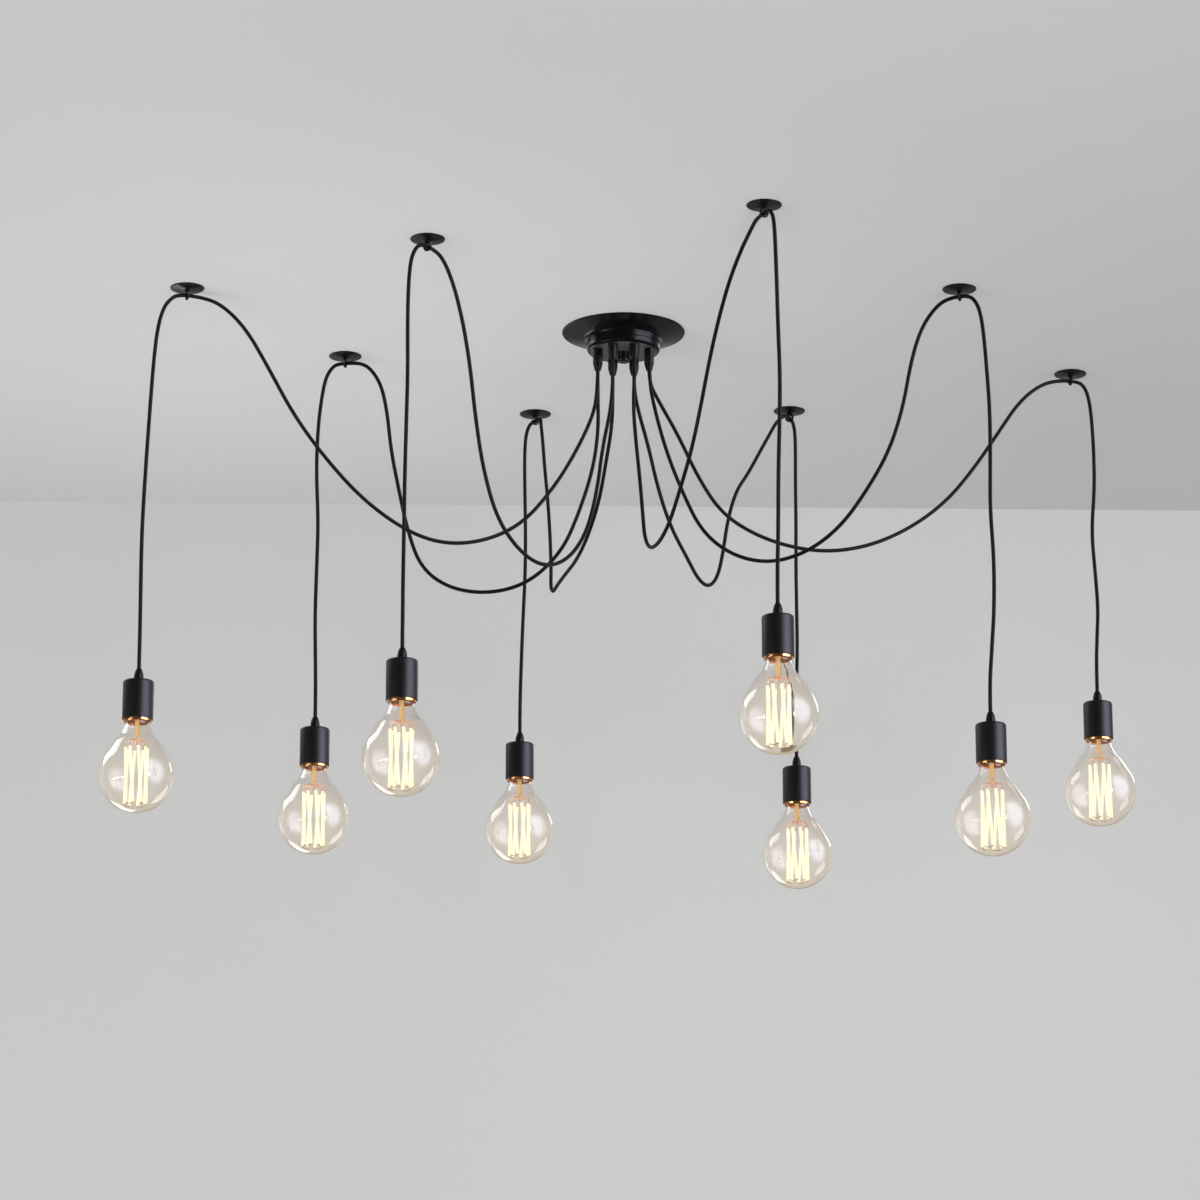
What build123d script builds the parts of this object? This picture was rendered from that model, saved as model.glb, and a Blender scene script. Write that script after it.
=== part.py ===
from build123d import *
import math
import os

# Hanging light with eight globe lamps. A canopy on the ceiling feeds eight black cords, each of which
# sags out to a hook of its own and drops from there to a lamp. The origin is on the ceiling surface in
# the middle of the canopy, with Z up.

# Canopy: a pressed cup with a wide shallow rim, a short neck and a flat bottom plate
canopy_rim_radius = 81.5
canopy_rim_lip = 1.6
canopy_shoulder_depth = 9.2
canopy_neck_radius = 48.5
canopy_depth = 28.0
canopy_sheet = 1.2
canopy_lip_bend = 1.4
canopy_shoulder_bend = 6.0
canopy_corner_bend = 4.5
neck_bead_depth = 19.0
neck_bead_radius = 0.6

# Ceiling bracket: a steel strap with raised feet and a dropped middle
bracket_length = 96.0
bracket_width = 20.0
bracket_sheet = 1.5
bracket_wire_gap = 2.0
bracket_middle_length = 34.0
bracket_slope_reach = 8.0
bracket_bend = 2.5
slot_spacing = 66.0
slot_length = 12.0
slot_width = 4.5

# Threaded nipple with a nut above and below the strap, and the cap nut under the canopy
nipple_radius = 5.0
nipple_bore_radius = 3.0
nipple_tip = 1.5
nipple_nut_flats = 16.0
nipple_nut_height = 3.0
cap_nut_radius = 8.0
cap_nut_height = 14.0
cap_nut_floor = 4.0
cap_nut_edge = 2.5

# Cord glands in a ring in the bottom plate, and their lock nuts inside
gland_ring_radius = 37.0
gland_angles = [202.5, 157.5, 247.5, 112.5, 292.5, 67.5, 337.5, 22.5]
gland_body_radius = 6.5
gland_body_height = 11.0
gland_nose_radius = 4.1
gland_height = 20.6
gland_edge = 1.1
gland_thread_radius = 5.5
gland_thread_height = 8.0
gland_nut_flats = 13.5
gland_nut_height = 4.0

# Terminal blocks beside the nipple, and the wires that rise from the glands to them
block_inner_reach = 11.0
block_width = 9.0
block_length = 38.0
block_height = 10.3
terminal_pitch = 4.6
terminal_inset = 2.0
terminal_screw_radius = 1.6
terminal_screw_height = 0.8
terminal_screw_sunk = 3.0
wire_radius = 1.0
wire_parting = 2.1
wire_rise = 3.5
wire_bend = 1.5

# Ceiling hooks: an open eye under a screw shank, with a shallow round plate on the ceiling
hook_places = [
    (-564, -176), (-375, 98), (-247, -359), (-122, 351), (170, -479), (234, 337), (433, -172), (611, 174),
]
hook_wire_radius = 1.75
hook_eye_radius = 4.75
hook_eye_depth = 10.0
hook_start_angle = 65.0
hook_eye_angle = 280.0
hook_neck_radius = 1.8
hook_shank_radius = 2.0
hook_shank_reach = 25.0
hook_point_length = 6.0
hook_collar_radius = 3.6
hook_collar_height = 1.2
hook_plate_radius = 22.0
hook_plate_depth = 3.5
hook_plate_lip = 1.2
hook_plate_sheet = 1.0
hook_plate_bend = 1.3

# Cords. Each sag is laid out as level reach from its gland towards its hook, and depth under the
# ceiling. Each drop is laid out as level reach away from its hook, and depth under the ceiling.
cord_radius = 2.5
cord_parting = 0.1
cord_arc_share = 0.45
hook_leads = [18, 18, 18, 14, 18, 18, 18, 18]
sag_drawn_spans = [554.0, 351.0, 399.7, 334.7, 471.3, 374.2, 428.9, 598.6]
sag_routes = [
    [(0, 80), (5, 118), (29, 172), (61, 227), (103, 279), (155, 307), (208, 315), (258, 302),
     (315, 266), (366, 215), (410, 159), (447, 94), (476, 47), (508, 18)],
    [(0, 84), (-1, 130), (6, 184), (25, 243), (48, 295), (92, 335), (145, 347), (200, 337),
     (241, 306), (260, 254), (273, 196), (285, 138), (291, 83), (300, 44), (316, 19)],
    [(0, 78), (5, 120), (24, 178), (35, 237), (59, 303), (101, 349), (153, 370), (205, 361),
     (252, 329), (281, 272), (298, 208), (309, 147), (324, 93), (343, 49), (363, 21)],
    [(0, 80), (3, 118), (27, 160), (55, 206), (100, 242), (151, 264), (203, 271), (236, 277),
     (254, 282), (263, 271), (261, 244), (267, 193), (277, 143), (291, 94), (298, 62), (304, 38), (310, 20)],
    [(0, 75), (-5, 112), (4, 160), (20, 220), (31, 272), (38, 306), (58, 326), (92, 327),
     (130, 312), (170, 278), (213, 238), (247, 190), (277, 141), (313, 94), (352, 56), (392, 31), (426, 16)],
    [(0, 68), (10, 97), (33, 140), (53, 190), (82, 238), (122, 274), (148, 298), (172, 303),
     (193, 285), (206, 250), (219, 196), (240, 150), (268, 120), (300, 78), (325, 46), (341, 25)],
    [(0, 76), (8, 116), (23, 172), (45, 230), (72, 288), (114, 325), (165, 341), (216, 332),
     (262, 303), (300, 256), (331, 206), (350, 150), (361, 94), (374, 52), (391, 26)],
    [(0, 66), (14, 92), (40, 136), (66, 190), (98, 238), (145, 265), (200, 279), (254, 280),
     (312, 265), (368, 235), (418, 194), (459, 142), (492, 93), (522, 48), (552, 21)],
]
drop_turns = [0, 0, 0, 14.6, 7.7, 16.0, 0, 0]
drop_first_reach = 11.0
drop_routes = [
    [(21, 16.5), (30.5, 30), (37, 56), (41, 98), (44, 160), (47, 230), (49.5, 300), (50.3, 350),
     (49.6, 415), (49, 470), (49, 512)],
    [(19.5, 16), (27.3, 30), (32.5, 58), (37, 102), (38, 165), (34, 228), (35, 292), (36.3, 360),
     (34.5, 425), (33.5, 468), (33.5, 500)],
    [(22.5, 17), (33, 35), (37.5, 67), (38.5, 122), (36.8, 185), (38.5, 250), (40.3, 318), (40.5, 385),
     (41.2, 450), (41, 500), (41, 538.5)],
    [(20, 16.5), (25.5, 30), (27.5, 56), (26.5, 106), (24, 165), (24.5, 230), (30, 295), (34, 360),
     (36.5, 412), (36.5, 453)],
    [(20, 17), (24.5, 31), (27, 60), (29.5, 112), (31.5, 170), (35, 230), (32.5, 290), (28, 355),
     (26.5, 420), (23, 474), (23, 512.4)],
    [(21, 16.5), (26, 29.5), (26, 58), (24.5, 106), (25, 160), (22, 220), (23, 280), (24, 338),
     (18, 395), (14, 448), (14, 494.6)],
    [(20, 17), (27, 33), (31, 62), (34, 110), (37, 172), (36, 235), (34, 300), (37.5, 362),
     (36.5, 430), (31.5, 490), (28, 530), (28, 565.7)],
    [(19.5, 16), (25.5, 30), (29, 56), (31, 104), (30.5, 162), (24, 222), (28, 284), (30.3, 330),
     (27.6, 369), (25.3, 407), (25.3, 445.7)],
]

# Socket shell with its cord grip. Heights on the lamp are counted up from the shell's open mouth.
shell_radius = 19.5
shell_wall = 1.5
shell_edge = 3.0
grip_radius = 6.0
grip_height = 16.0
grip_nose_radius = 3.1
grip_shoulder_height = 7.5
grip_crown_radius = 5.0
grip_crown_height = 12.0
grip_edge = 0.4
grip_shank_radius = 4.0
grip_nut_flats = 12.0
grip_nut_height = 3.0

# Lampholder: insert, screw shell, centre contact and the copper ring at the mouth
insert_clearance = 0.2
insert_mouth_height = 4.0
insert_floor = 10.0
insert_nut_gap = 1.5
screw_shell_radius = 14.0
screw_shell_wall = 0.5
screw_shell_height = 26.0
screw_shell_clearance = 0.3
screw_shell_hole_radius = 6.0
contact_radius = 3.5
contact_height = 2.15
contact_clearance = 0.2
seat_clearance = 0.1
ring_drop = 4.0
ring_straight_drop = 1.0
ring_lip_radius = 16.9
ring_inner_radius = 15.8
ring_edge = 0.4

# Lamp: globe envelope on a threaded cap
globe_radius = 47.5
glass_wall = 0.9
neck_top_height = 10.0
neck_clearance = 0.3
neck_shoulder_height = 4.2
neck_radius = 15.4
neck_shoulder_rise = 3.2
neck_straight_depth = 7.0
waist_radius = 22.3
waist_depth = 21.5
waist_globe_gap = 7.25
neck_bend = 1.6
neck_flare_bend = 12.0
waist_bend = 20.0
cap_crest_radius = 13.2
cap_root_radius = 12.35
cap_wall = 0.5
cap_skirt_height = 5.0
cap_skirt_length = 5.0
cap_thread_pitch = 3.63
cap_thread_turns = 5
cap_cone_height = 2.0
cap_cone_wall = 0.6
insulator_radius = 7.0
insulator_sunk = 1.0
tip_radius = 4.5
tip_height = 1.4

# Glass stem, centre rod and the lit strips held round it in a twisted cage
stem_radius = 3.2
stem_depth = 23.0
stem_flare_height = 3.0
rod_radius = 1.3
rod_depth = 31.0
strip_count = 8
strip_radius = 1.4
strip_ring_radius = 14.0
strip_top_depth = 36.0
strip_floor_gap = 10.1
strip_first_angle = 14.0
strip_twist = 50.0
strip_wire_radius = 0.4
strip_arm_bend = 2.0
hub_radius = 2.6
hub_height = 4.0
hub_depth = 27.0

# Shared clearances and the length by which cuts overrun
thread_clearance = 0.1
hole_clearance = 0.3
overrun = 2.0

os.makedirs("parts", exist_ok=True)


def write_piece(part, name):
    part.label = name
    export_step(part, f"parts/{name}.step")


def plan_direction(angle):
    return Vector(math.cos(math.radians(angle)), math.sin(math.radians(angle)), 0)


# Levels that follow from the sizes above
plate_top = canopy_sheet - canopy_depth
gland_tip = -canopy_depth - gland_height
gland_top = gland_thread_height - canopy_depth
block_top = plate_top + block_height
bracket_underside = block_top + wire_rise + wire_radius + bracket_wire_gap
bracket_drop = -bracket_underside - bracket_sheet
cord_eye_level = cord_radius + thread_clearance + hook_wire_radius - hook_eye_depth - hook_eye_radius
cord_bore_radius = wire_parting / 2 + wire_radius + thread_clearance
thread_start = cap_skirt_height + cap_skirt_length
thread_end = thread_start + cap_thread_pitch * cap_thread_turns
cone_top = thread_end + cap_cone_height
tip_top = cone_top + tip_height
contact_foot = tip_top + contact_clearance
screw_shell_top = contact_foot + contact_height
insert_ceiling = screw_shell_top + seat_clearance
insert_top = insert_ceiling + insert_floor
shell_ceiling = insert_top + insert_nut_gap + grip_nut_height
shell_height = shell_ceiling + shell_wall
gland_places = [plan_direction(angle) * gland_ring_radius for angle in gland_angles]
hook_centres = [Vector(x, y, 0) for x, y in hook_places]
sag_directions = [(hook - gland).normalized() for hook, gland in zip(hook_centres, gland_places)]
drop_directions = [way.rotate(Axis.Z, turn) for way, turn in zip(sag_directions, drop_turns)]

# Canopy dish
with BuildPart() as canopy_dish:
    with BuildSketch(Plane.XZ):
        with BuildLine():
            FilletPolyline(
                (canopy_rim_radius, 0),
                (canopy_rim_radius, -canopy_rim_lip),
                (canopy_neck_radius, -canopy_shoulder_depth),
                (canopy_neck_radius, -canopy_depth),
                (0, -canopy_depth),
                radius=[canopy_lip_bend, canopy_shoulder_bend, canopy_corner_bend],
            )
            offset(amount=canopy_sheet, side=Side.RIGHT)
        make_face()
    revolve(axis=Axis.Z)
    with BuildSketch(Plane.XZ):
        with Locations((canopy_neck_radius, -neck_bead_depth)):
            Circle(neck_bead_radius)
    revolve(axis=Axis.Z)
    with BuildSketch(Plane.XY.offset(-canopy_depth)):
        Circle(nipple_radius + hole_clearance)
        with Locations(*gland_places):
            Circle(gland_thread_radius + hole_clearance)
    extrude(amount=canopy_sheet + overrun, both=True, mode=Mode.SUBTRACT)
write_piece(canopy_dish.part, "canopy_dish")

# Ceiling bracket
bracket_knee = bracket_middle_length / 2 + bracket_slope_reach
with BuildPart() as ceiling_bracket:
    with BuildSketch(Plane.XZ):
        with BuildLine():
            FilletPolyline(
                (-bracket_length / 2, 0),
                (-bracket_knee, 0),
                (-bracket_middle_length / 2, -bracket_drop),
                (bracket_middle_length / 2, -bracket_drop),
                (bracket_knee, 0),
                (bracket_length / 2, 0),
                radius=bracket_bend,
            )
            offset(amount=bracket_sheet, side=Side.RIGHT)
        make_face()
    extrude(amount=bracket_width / 2, both=True)
    with BuildSketch(Plane.XY):
        Circle(nipple_radius + hole_clearance)
        with GridLocations(slot_spacing, 0, 2, 1):
            SlotOverall(slot_length, slot_width)
    extrude(amount=bracket_drop + bracket_sheet + overrun, both=True, mode=Mode.SUBTRACT)
write_piece(ceiling_bracket.part, "ceiling_bracket")

# Threaded nipple and its two nuts
nipple_top = nipple_nut_height + nipple_tip - bracket_drop
nipple_bottom = cap_nut_floor + thread_clearance - canopy_depth - cap_nut_height
with BuildPart() as threaded_nipple:
    with BuildSketch(Plane.XY.offset(nipple_bottom)):
        Circle(nipple_radius)
        Circle(nipple_bore_radius, mode=Mode.SUBTRACT)
    extrude(amount=nipple_top - nipple_bottom)
    for nut_bottom in (-bracket_drop, bracket_underside - nipple_nut_height):
        with BuildSketch(Plane.XY.offset(nut_bottom)):
            RegularPolygon(nipple_nut_flats / 2, 6, major_radius=False)
            Circle(nipple_radius + thread_clearance, mode=Mode.SUBTRACT)
        extrude(amount=nipple_nut_height)
write_piece(threaded_nipple.part, "threaded_nipple")

# Cap nut
with BuildPart() as cap_nut:
    with BuildSketch(Plane.XY.offset(-canopy_depth)):
        Circle(cap_nut_radius)
    extrude(amount=-cap_nut_height)
    fillet(cap_nut.faces().sort_by(Axis.Z)[0].edges(), radius=cap_nut_edge)
    with BuildSketch(Plane.XY.offset(-canopy_depth)):
        Circle(nipple_radius + thread_clearance)
    extrude(amount=cap_nut_floor - cap_nut_height, mode=Mode.SUBTRACT)
write_piece(cap_nut.part, "cap_nut")

# Cord glands
with BuildPart() as gland_blank:
    with BuildSketch(Plane.XZ) as gland_profile:
        with BuildLine():
            Polyline(
                (0, gland_tip),
                (gland_nose_radius, gland_tip),
                (gland_body_radius, -canopy_depth - gland_body_height),
                (gland_body_radius, -canopy_depth),
                (gland_thread_radius, -canopy_depth),
                (gland_thread_radius, gland_top),
                (0, gland_top),
                close=True,
            )
        make_face()
        fillet(gland_profile.vertices().group_by(Axis.X)[-1].sort_by(Axis.Y)[0], radius=gland_edge)
    revolve(axis=Axis.Z)
    with BuildSketch(Plane.XY.offset(gland_tip)):
        Circle(cord_bore_radius)
    extrude(amount=gland_top - gland_tip, mode=Mode.SUBTRACT)
with BuildPart() as cord_glands:
    with Locations(*gland_places):
        add(gland_blank.part)
write_piece(cord_glands.part, "cord_glands")

# Lock nuts
with BuildPart() as gland_lock_nuts:
    with BuildSketch(Plane.XY.offset(plate_top)):
        with PolarLocations(gland_ring_radius, len(gland_angles), min(gland_angles)):
            RegularPolygon(gland_nut_flats / 2, 6, major_radius=False, rotation=180 / 6)
            Circle(gland_thread_radius + thread_clearance, mode=Mode.SUBTRACT)
    extrude(amount=gland_nut_height)
write_piece(gland_lock_nuts.part, "gland_lock_nuts")

# Each gland has a live and a neutral terminal on the block of its side, entered from above
block_centre_reach = block_inner_reach + block_width / 2
near_column = block_inner_reach + terminal_inset
far_column = block_inner_reach + block_width - terminal_inset
live_entries = []
neutral_entries = []
screw_places = []
for gland in gland_places:
    side_x = math.copysign(1, gland.X)
    side_y = math.copysign(1, gland.Y)
    first_row = 0 if abs(gland.X) > abs(gland.Y) else 2
    neutral_row = side_y * (first_row + 1 / 2) * terminal_pitch
    live_row = side_y * (first_row + 3 / 2) * terminal_pitch
    live_entries.append((side_x * near_column, live_row))
    neutral_entries.append((side_x * far_column, neutral_row))
    screw_places.append((side_x * far_column, live_row))
    screw_places.append((side_x * near_column, neutral_row))

# Terminal blocks
with BuildPart() as terminal_blocks:
    with BuildSketch(Plane.XY.offset(plate_top)):
        with GridLocations(2 * block_centre_reach, 0, 2, 1):
            Rectangle(block_width, block_length)
    extrude(amount=block_height)
    with BuildSketch(Plane.XY.offset(block_top)):
        with Locations(*screw_places):
            Circle(terminal_screw_radius + thread_clearance)
    extrude(amount=-terminal_screw_sunk, mode=Mode.SUBTRACT)
write_piece(terminal_blocks.part, "terminal_blocks")

# Terminal screws
with BuildPart() as terminal_screws:
    with BuildSketch(Plane.XY.offset(block_top - terminal_screw_sunk)):
        with Locations(*screw_places):
            Circle(terminal_screw_radius)
    extrude(amount=terminal_screw_sunk + terminal_screw_height)
write_piece(terminal_screws.part, "terminal_screws")


def wire_set(entries, lean):
    with BuildPart() as wires:
        for gland, entry in zip(gland_places, entries):
            side_x = math.copysign(1, gland.X)
            side_y = math.copysign(1, gland.Y)
            if abs(gland.X) > abs(gland.Y):
                start = (gland.X, gland.Y + lean * side_y * wire_parting / 2)
            else:
                start = (gland.X - lean * side_x * wire_parting / 2, gland.Y)
            with BuildLine() as route:
                FilletPolyline(
                    (*start, gland_tip),
                    (*start, block_top + wire_rise),
                    (*entry, block_top + wire_rise),
                    (*entry, block_top),
                    radius=wire_bend,
                )
            with BuildSketch(Plane((*start, gland_tip))):
                Circle(wire_radius)
            sweep(path=route.line)
    return wires.part


write_piece(wire_set(live_entries, 1), "live_wires")
write_piece(wire_set(neutral_entries, -1), "neutral_wires")

# Plates under the ceiling, one round each hook
with BuildPart() as hook_plate_blank:
    with BuildSketch(Plane.XZ):
        with BuildLine():
            FilletPolyline(
                (hook_plate_radius, 0),
                (hook_plate_radius, -hook_plate_lip),
                (hook_shank_radius + hole_clearance, -hook_plate_depth),
                radius=hook_plate_bend,
            )
            offset(amount=hook_plate_sheet, side=Side.RIGHT)
        make_face()
    revolve(axis=Axis.Z)
with BuildPart() as hook_discs:
    with Locations(*hook_centres):
        add(hook_plate_blank.part)
write_piece(hook_discs.part, "hook_discs")

# Ceiling hooks, drawn with the cord's way through the eye along X
eye_top = hook_eye_radius - hook_eye_depth
with BuildPart() as hook_blank:
    with BuildLine(Plane.YZ) as eye_line:
        CenterArc((0, -hook_eye_depth), hook_eye_radius, hook_start_angle, hook_eye_angle)
    with BuildSketch(Plane(origin=eye_line.line @ 0, z_dir=eye_line.line % 0)):
        Circle(hook_wire_radius)
    sweep(path=eye_line.line)
    with Locations(eye_line.line @ 0, eye_line.line @ 1):
        Sphere(hook_wire_radius)
    with BuildSketch(Plane.XZ):
        with BuildLine():
            Polyline(
                (0, eye_top),
                (hook_neck_radius, eye_top),
                (hook_neck_radius, -hook_plate_depth - hook_collar_height),
                (hook_collar_radius, -hook_plate_depth - hook_collar_height),
                (hook_collar_radius, -hook_plate_depth),
                (hook_neck_radius, -hook_plate_depth),
                (hook_neck_radius, 0),
                (hook_shank_radius, 0),
                (hook_shank_radius, hook_shank_reach - hook_point_length),
                (0, hook_shank_reach),
                close=True,
            )
        make_face()
    revolve(axis=Axis.Z)
with BuildPart() as ceiling_hooks:
    for centre, way in zip(hook_centres, drop_directions):
        with Locations(Plane(origin=centre, x_dir=way)):
            add(hook_blank.part)
write_piece(ceiling_hooks.part, "ceiling_hooks")


def route_radii(points):
    radii = []
    for before, corner, after in zip(points, points[1:], points[2:]):
        run_in = corner - before
        run_out = after - corner
        turn = math.radians(run_in.get_angle(run_out))
        radii.append(cord_arc_share * min(run_in.length, run_out.length) / math.tan(turn / 2))
    return radii


def write_cord(points, name):
    radii = route_radii(points)
    with BuildPart() as cord:
        with BuildLine() as route:
            FilletPolyline(*points, radius=radii)
        with BuildSketch(Plane(origin=route.line @ 0, z_dir=route.line % 0)):
            Circle(cord_radius)
        sweep(path=route.line)
    write_piece(cord.part, name)
    length = route.wires()[0].length
    full_volume = math.pi * cord_radius**2 * length
    print(name, "length", round(length, 1), "volume ratio", round(cord.part.volume / full_volume, 4),
          "radii", [round(radius) for radius in radii])


# Cords, and the lamps' places at the ends of their drops
eye_depth = Vector(0, 0, cord_eye_level)
half_parting = cord_parting / 2
lamp_places = []
for index, (gland, hook) in enumerate(zip(gland_places, hook_centres)):
    number = index + 1
    sag_way = sag_directions[index]
    drop_way = drop_directions[index]
    stretch = (hook - gland).length / sag_drawn_spans[index]
    sag_points = [gland + Vector(0, 0, gland_tip)]
    for reach, depth in sag_routes[index]:
        sag_points.append(gland + sag_way * (reach * stretch) + Vector(0, 0, -depth))
    sag_points.append(hook - drop_way * hook_leads[index] + eye_depth)
    sag_points.append(hook - drop_way * half_parting + eye_depth)
    write_cord(sag_points, f"swag_cord_{number}")
    drop_points = [hook + drop_way * half_parting + eye_depth, hook + drop_way * drop_first_reach + eye_depth]
    for reach, depth in drop_routes[index]:
        drop_points.append(hook + drop_way * reach + Vector(0, 0, -depth))
    write_cord(drop_points, f"drop_cord_{number}")
    lamp_places.append(drop_points[-1] - Vector(0, 0, shell_height + grip_height))

# Socket shell and cord grip, with the open mouth at zero height
with BuildPart() as socket_shell:
    with BuildSketch(Plane.XY):
        Circle(shell_radius)
    extrude(amount=shell_height)
    fillet(socket_shell.faces().sort_by(Axis.Z)[-1].edges(), radius=shell_edge)
    with BuildSketch(Plane.XY):
        Circle(shell_radius - shell_wall)
    extrude(amount=shell_ceiling, mode=Mode.SUBTRACT)
    with BuildSketch(Plane.XY.offset(shell_height)):
        Circle(grip_shank_radius + thread_clearance)
    extrude(amount=shell_wall + overrun, both=True, mode=Mode.SUBTRACT)
    with BuildSketch(Plane.XY.offset(shell_ceiling - grip_nut_height)):
        RegularPolygon(grip_nut_flats / 2, 6, major_radius=False)
        Circle(grip_shank_radius + thread_clearance, mode=Mode.SUBTRACT)
    extrude(amount=grip_nut_height)
    with BuildSketch(Plane.XZ) as grip_profile:
        with BuildLine():
            Polyline(
                (0, insert_top),
                (grip_shank_radius, insert_top),
                (grip_shank_radius, shell_height),
                (grip_radius, shell_height),
                (grip_radius, shell_height + grip_shoulder_height),
                (grip_crown_radius, shell_height + grip_crown_height),
                (grip_nose_radius, shell_height + grip_height),
                (0, shell_height + grip_height),
                close=True,
            )
        make_face()
        fillet(grip_profile.vertices().group_by(Axis.Y)[-1].sort_by(Axis.X)[-1], radius=grip_edge)
    revolve(axis=Axis.Z)

# Lampholder: insert, screw shell, centre contact and mouth ring
insert_radius = shell_radius - shell_wall - insert_clearance
ring_top = insert_mouth_height - seat_clearance
with BuildPart() as lampholder:
    with BuildSketch(Plane.XY.offset(insert_mouth_height)):
        Circle(insert_radius)
        Circle(screw_shell_radius + screw_shell_clearance, mode=Mode.SUBTRACT)
    extrude(amount=insert_ceiling - insert_mouth_height)
    with BuildSketch(Plane.XY.offset(insert_ceiling)):
        Circle(insert_radius)
    extrude(amount=insert_floor)
    with BuildSketch(Plane.XY.offset(screw_shell_top - screw_shell_height)):
        Circle(screw_shell_radius)
        Circle(screw_shell_radius - screw_shell_wall, mode=Mode.SUBTRACT)
    extrude(amount=screw_shell_height)
    with BuildSketch(Plane.XY.offset(screw_shell_top)):
        Circle(screw_shell_radius)
        Circle(screw_shell_hole_radius, mode=Mode.SUBTRACT)
    extrude(amount=-screw_shell_wall)
    with BuildSketch(Plane.XY.offset(contact_foot)):
        Circle(contact_radius)
    extrude(amount=contact_height)
    with BuildSketch(Plane.XZ) as ring_section:
        with BuildLine():
            Polyline(
                (ring_inner_radius, ring_top),
                (insert_radius, ring_top),
                (insert_radius, -ring_straight_drop),
                (ring_lip_radius, -ring_drop),
                (ring_inner_radius, -ring_drop),
                close=True,
            )
        make_face()
        fillet(ring_section.vertices().group_by(Axis.Y)[0], radius=ring_edge)
    revolve(axis=Axis.Z)

# Glass envelope with its stem and centre rod
neck_top_radius = cap_crest_radius - cap_wall - neck_clearance
waist_centre_distance = globe_radius + waist_globe_gap
waist_rise = math.sqrt(waist_centre_distance**2 - waist_radius**2)
globe_centre_depth = waist_depth + waist_rise
globe_bottom_depth = globe_centre_depth + globe_radius
join_turn = math.atan2(waist_rise, waist_radius) - math.acos(globe_radius / waist_centre_distance)
join_angle = math.degrees(join_turn)
join_point = plan_direction(join_angle) * globe_radius - Vector(0, globe_centre_depth, 0)
flare_radius = neck_top_radius - glass_wall
flare_bottom = neck_top_height - stem_flare_height
with BuildPart() as bulb_glass:
    with BuildSketch(Plane.XZ):
        with BuildLine():
            FilletPolyline(
                (neck_top_radius, neck_top_height),
                (neck_top_radius, neck_shoulder_height),
                (neck_radius, neck_shoulder_height - neck_shoulder_rise),
                (neck_radius, -neck_straight_depth),
                (waist_radius, -waist_depth),
                (join_point.X, join_point.Y),
                radius=[neck_bend, neck_bend, neck_flare_bend, waist_bend],
            )
            CenterArc((0, -globe_centre_depth), globe_radius, join_angle, -join_angle - 90)
            offset(amount=glass_wall, side=Side.RIGHT)
        make_face()
    revolve(axis=Axis.Z)
    with BuildSketch(Plane.XZ):
        with BuildLine():
            Polyline(
                (0, neck_top_height),
                (flare_radius, neck_top_height),
                (flare_radius, flare_bottom),
                (stem_radius, flare_bottom - stem_flare_height),
                (stem_radius, -stem_depth),
                (rod_radius, -stem_depth),
                (rod_radius, -rod_depth),
                (0, -rod_depth),
                close=True,
            )
        make_face()
    revolve(axis=Axis.Z)

# Threaded cap, insulator, tip contact and the filament with its supports
thread_points = []
for turn in range(cap_thread_turns):
    thread_points.append((cap_root_radius, thread_start + cap_thread_pitch * (turn + 1 / 2)))
    thread_points.append((cap_crest_radius, thread_start + cap_thread_pitch * (turn + 1)))
cap_bore_radius = cap_root_radius - cap_wall
strip_bottom_depth = globe_bottom_depth - glass_wall - strip_floor_gap
with BuildPart() as bulb_base:
    with BuildSketch(Plane.XZ):
        with BuildLine():
            Polyline(
                (insulator_radius, cone_top),
                (insulator_radius, cone_top - cap_cone_wall),
                (cap_bore_radius, thread_end),
                (cap_bore_radius, thread_start),
                (cap_crest_radius - cap_wall, thread_start),
                (cap_crest_radius - cap_wall, cap_skirt_height),
                (cap_crest_radius, cap_skirt_height),
                (cap_crest_radius, thread_start),
            )
            Polyline((cap_crest_radius, thread_start), *thread_points, (insulator_radius, cone_top))
        make_face()
    revolve(axis=Axis.Z)
    with BuildSketch(Plane.XY.offset(thread_end - insulator_sunk)):
        Circle(insulator_radius)
    extrude(amount=cone_top - thread_end + insulator_sunk)
    with BuildSketch(Plane.XY.offset(cone_top)):
        Circle(tip_radius)
    extrude(amount=tip_height)
    with BuildSketch(Plane.XY.offset(-hub_depth)):
        Circle(hub_radius)
        Circle(rod_radius, mode=Mode.SUBTRACT)
    extrude(amount=hub_height / 2, both=True)
    strip_bottoms = []
    for index in range(strip_count):
        top_angle = strip_first_angle + 360 / strip_count * index
        arm_way = plan_direction(top_angle)
        low_way = plan_direction(top_angle + strip_twist)
        arm_start = arm_way * rod_radius - Vector(0, 0, hub_depth)
        arm_end = arm_way * strip_ring_radius - Vector(0, 0, hub_depth)
        strip_top = arm_way * strip_ring_radius - Vector(0, 0, strip_top_depth)
        strip_bottom = low_way * strip_ring_radius - Vector(0, 0, strip_bottom_depth)
        strip_bottoms.append(strip_bottom)
        with BuildLine() as arm_line:
            FilletPolyline(arm_start, arm_end, strip_top, radius=strip_arm_bend)
        with BuildSketch(Plane(origin=arm_line.line @ 0, z_dir=arm_line.line % 0)):
            Circle(strip_wire_radius)
        sweep(path=arm_line.line)
        with BuildSketch(Plane(origin=strip_top, z_dir=strip_bottom - strip_top)):
            Circle(strip_radius)
        extrude(amount=(strip_bottom - strip_top).length)
    for near_end, far_end in zip(strip_bottoms[::2], strip_bottoms[1::2]):
        with BuildSketch(Plane(origin=near_end, z_dir=far_end - near_end)):
            Circle(strip_wire_radius)
        extrude(amount=(far_end - near_end).length)

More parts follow.
